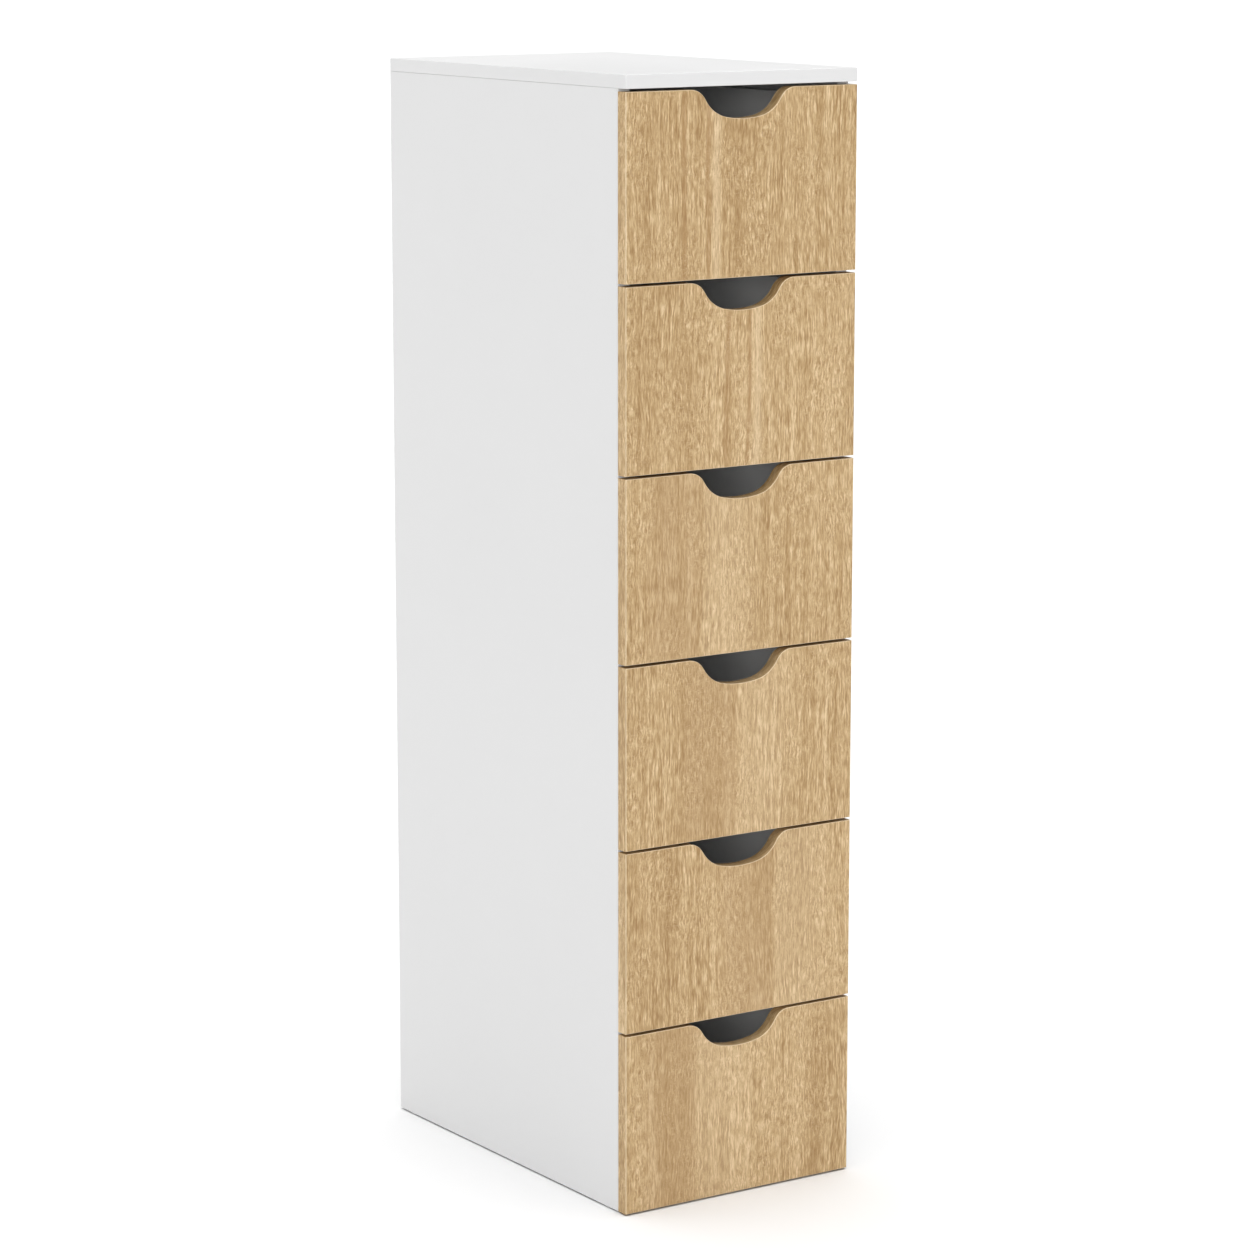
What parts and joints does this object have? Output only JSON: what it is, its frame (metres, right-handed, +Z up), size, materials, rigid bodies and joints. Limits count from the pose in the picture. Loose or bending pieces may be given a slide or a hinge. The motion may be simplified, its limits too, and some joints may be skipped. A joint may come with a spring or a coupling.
{
  "type": "tall chest of drawers",
  "caption": "Tall narrow chest with a stack of full-width oak-effect drawers, scooped finger cut-outs in place of handles, and a white board carcase",
  "frame": {"origin": "on the floor under the middle of the chest", "axes": "+Z up, -Y out of the drawer fronts, +X to the right as seen from the front"},
  "size_m": [0.3, 0.48, 1.235],
  "materials": {
    "white_board": "matt white melamine on particle board",
    "oak_board": "matt light oak effect melamine, vertical grain",
    "drawer_board": "matt white foil on fibreboard",
    "drawer_bottom_board": "white painted hardboard",
    "back_board": "white painted hardboard",
    "runner_steel": "white epoxy coated steel",
    "roller_nylon": "off-white nylon",
    "zinc": "zinc plated",
    "dowel_wood": "beech",
    "glide_plastic": "white plastic"
  },
  "bodies": {
    "cabinet": {"back_pins": "zinc", "cabinet_back": "back_board", "cabinet_bottom": "white_board", "cabinet_runners_left": "runner_steel", "cabinet_runners_right": "runner_steel", "cabinet_side_left": "white_board", "cabinet_side_right": "white_board", "cabinet_top": "white_board", "cam_fittings": "zinc", "dowels": "dowel_wood", "floor_glides": "glide_plastic", "runner_screws": "zinc"},
    "drawer_1": {"drawer_1_back": "drawer_board", "drawer_1_bottom": "drawer_bottom_board", "drawer_1_front": "oak_board", "drawer_1_runners": "runner_steel", "drawer_1_side_left": "drawer_board", "drawer_1_side_right": "drawer_board"},
    "drawer_1_rear_roller_pair": {"drawer_1_rear_rollers": "roller_nylon"},
    "drawer_1_front_roller_pair": {"drawer_1_front_rollers": "roller_nylon"},
    "drawer_2": {"drawer_2_back": "drawer_board", "drawer_2_bottom": "drawer_bottom_board", "drawer_2_front": "oak_board", "drawer_2_runners": "runner_steel", "drawer_2_side_left": "drawer_board", "drawer_2_side_right": "drawer_board"},
    "drawer_2_rear_roller_pair": {"drawer_2_rear_rollers": "roller_nylon"},
    "drawer_2_front_roller_pair": {"drawer_2_front_rollers": "roller_nylon"},
    "drawer_3": {"drawer_3_back": "drawer_board", "drawer_3_bottom": "drawer_bottom_board", "drawer_3_front": "oak_board", "drawer_3_runners": "runner_steel", "drawer_3_side_left": "drawer_board", "drawer_3_side_right": "drawer_board"},
    "drawer_3_rear_roller_pair": {"drawer_3_rear_rollers": "roller_nylon"},
    "drawer_3_front_roller_pair": {"drawer_3_front_rollers": "roller_nylon"},
    "drawer_4": {"drawer_4_back": "drawer_board", "drawer_4_bottom": "drawer_bottom_board", "drawer_4_front": "oak_board", "drawer_4_runners": "runner_steel", "drawer_4_side_left": "drawer_board", "drawer_4_side_right": "drawer_board"},
    "drawer_4_rear_roller_pair": {"drawer_4_rear_rollers": "roller_nylon"},
    "drawer_4_front_roller_pair": {"drawer_4_front_rollers": "roller_nylon"},
    "drawer_5": {"drawer_5_back": "drawer_board", "drawer_5_bottom": "drawer_bottom_board", "drawer_5_front": "oak_board", "drawer_5_runners": "runner_steel", "drawer_5_side_left": "drawer_board", "drawer_5_side_right": "drawer_board"},
    "drawer_5_rear_roller_pair": {"drawer_5_rear_rollers": "roller_nylon"},
    "drawer_5_front_roller_pair": {"drawer_5_front_rollers": "roller_nylon"},
    "drawer_6": {"drawer_6_back": "drawer_board", "drawer_6_bottom": "drawer_bottom_board", "drawer_6_front": "oak_board", "drawer_6_runners": "runner_steel", "drawer_6_side_left": "drawer_board", "drawer_6_side_right": "drawer_board"},
    "drawer_6_rear_roller_pair": {"drawer_6_rear_rollers": "roller_nylon"},
    "drawer_6_front_roller_pair": {"drawer_6_front_rollers": "roller_nylon"}
  },
  "joints": [
    {"name": "drawer_1_slide", "type": "slide", "parent": "cabinet", "child": "drawer_1", "axis": [0, -1, 0], "range_m": [0, 0.33]},
    {"name": "drawer_1_rear_roller_spin", "type": "hinge", "parent": "drawer_1", "child": "drawer_1_rear_roller_pair", "pos_m": [0, 0.19, 1.05015], "axis": [1, 0, 0], "range_deg": [0, 1891.8]},
    {"name": "drawer_1_front_roller_spin", "type": "hinge", "parent": "cabinet", "child": "drawer_1_front_roller_pair", "pos_m": [0, -0.211, 1.05055], "axis": [1, 0, 0], "range_deg": [0, 1891.8]},
    {"name": "drawer_2_slide", "type": "slide", "parent": "cabinet", "child": "drawer_2", "axis": [0, -1, 0], "range_m": [0, 0.33]},
    {"name": "drawer_2_rear_roller_spin", "type": "hinge", "parent": "drawer_2", "child": "drawer_2_rear_roller_pair", "pos_m": [0, 0.19, 0.84715], "axis": [1, 0, 0], "range_deg": [0, 1891.8]},
    {"name": "drawer_2_front_roller_spin", "type": "hinge", "parent": "cabinet", "child": "drawer_2_front_roller_pair", "pos_m": [0, -0.211, 0.84755], "axis": [1, 0, 0], "range_deg": [0, 1891.8]},
    {"name": "drawer_3_slide", "type": "slide", "parent": "cabinet", "child": "drawer_3", "axis": [0, -1, 0], "range_m": [0, 0.33]},
    {"name": "drawer_3_rear_roller_spin", "type": "hinge", "parent": "drawer_3", "child": "drawer_3_rear_roller_pair", "pos_m": [0, 0.19, 0.64415], "axis": [1, 0, 0], "range_deg": [0, 1891.8]},
    {"name": "drawer_3_front_roller_spin", "type": "hinge", "parent": "cabinet", "child": "drawer_3_front_roller_pair", "pos_m": [0, -0.211, 0.64455], "axis": [1, 0, 0], "range_deg": [0, 1891.8]},
    {"name": "drawer_4_slide", "type": "slide", "parent": "cabinet", "child": "drawer_4", "axis": [0, -1, 0], "range_m": [0, 0.33]},
    {"name": "drawer_4_rear_roller_spin", "type": "hinge", "parent": "drawer_4", "child": "drawer_4_rear_roller_pair", "pos_m": [0, 0.19, 0.44115], "axis": [1, 0, 0], "range_deg": [0, 1891.8]},
    {"name": "drawer_4_front_roller_spin", "type": "hinge", "parent": "cabinet", "child": "drawer_4_front_roller_pair", "pos_m": [0, -0.211, 0.44155], "axis": [1, 0, 0], "range_deg": [0, 1891.8]},
    {"name": "drawer_5_slide", "type": "slide", "parent": "cabinet", "child": "drawer_5", "axis": [0, -1, 0], "range_m": [0, 0.33]},
    {"name": "drawer_5_rear_roller_spin", "type": "hinge", "parent": "drawer_5", "child": "drawer_5_rear_roller_pair", "pos_m": [0, 0.19, 0.23815], "axis": [1, 0, 0], "range_deg": [0, 1891.8]},
    {"name": "drawer_5_front_roller_spin", "type": "hinge", "parent": "cabinet", "child": "drawer_5_front_roller_pair", "pos_m": [0, -0.211, 0.23855], "axis": [1, 0, 0], "range_deg": [0, 1891.8]},
    {"name": "drawer_6_slide", "type": "slide", "parent": "cabinet", "child": "drawer_6", "axis": [0, -1, 0], "range_m": [0, 0.33]},
    {"name": "drawer_6_rear_roller_spin", "type": "hinge", "parent": "drawer_6", "child": "drawer_6_rear_roller_pair", "pos_m": [0, 0.19, 0.03515], "axis": [1, 0, 0], "range_deg": [0, 1891.8]},
    {"name": "drawer_6_front_roller_spin", "type": "hinge", "parent": "cabinet", "child": "drawer_6_front_roller_pair", "pos_m": [0, -0.211, 0.03555], "axis": [1, 0, 0], "range_deg": [0, 1891.8]}
  ],
  "couplings": [
    {"joint": "drawer_1_rear_roller_spin", "follows": "drawer_1_slide", "rad_per_m": 100},
    {"joint": "drawer_1_front_roller_spin", "follows": "drawer_1_slide", "rad_per_m": 100},
    {"joint": "drawer_2_rear_roller_spin", "follows": "drawer_2_slide", "rad_per_m": 100},
    {"joint": "drawer_2_front_roller_spin", "follows": "drawer_2_slide", "rad_per_m": 100},
    {"joint": "drawer_3_rear_roller_spin", "follows": "drawer_3_slide", "rad_per_m": 100},
    {"joint": "drawer_3_front_roller_spin", "follows": "drawer_3_slide", "rad_per_m": 100},
    {"joint": "drawer_4_rear_roller_spin", "follows": "drawer_4_slide", "rad_per_m": 100},
    {"joint": "drawer_4_front_roller_spin", "follows": "drawer_4_slide", "rad_per_m": 100},
    {"joint": "drawer_5_rear_roller_spin", "follows": "drawer_5_slide", "rad_per_m": 100},
    {"joint": "drawer_5_front_roller_spin", "follows": "drawer_5_slide", "rad_per_m": 100},
    {"joint": "drawer_6_rear_roller_spin", "follows": "drawer_6_slide", "rad_per_m": 100},
    {"joint": "drawer_6_front_roller_spin", "follows": "drawer_6_slide", "rad_per_m": 100}
  ]
}
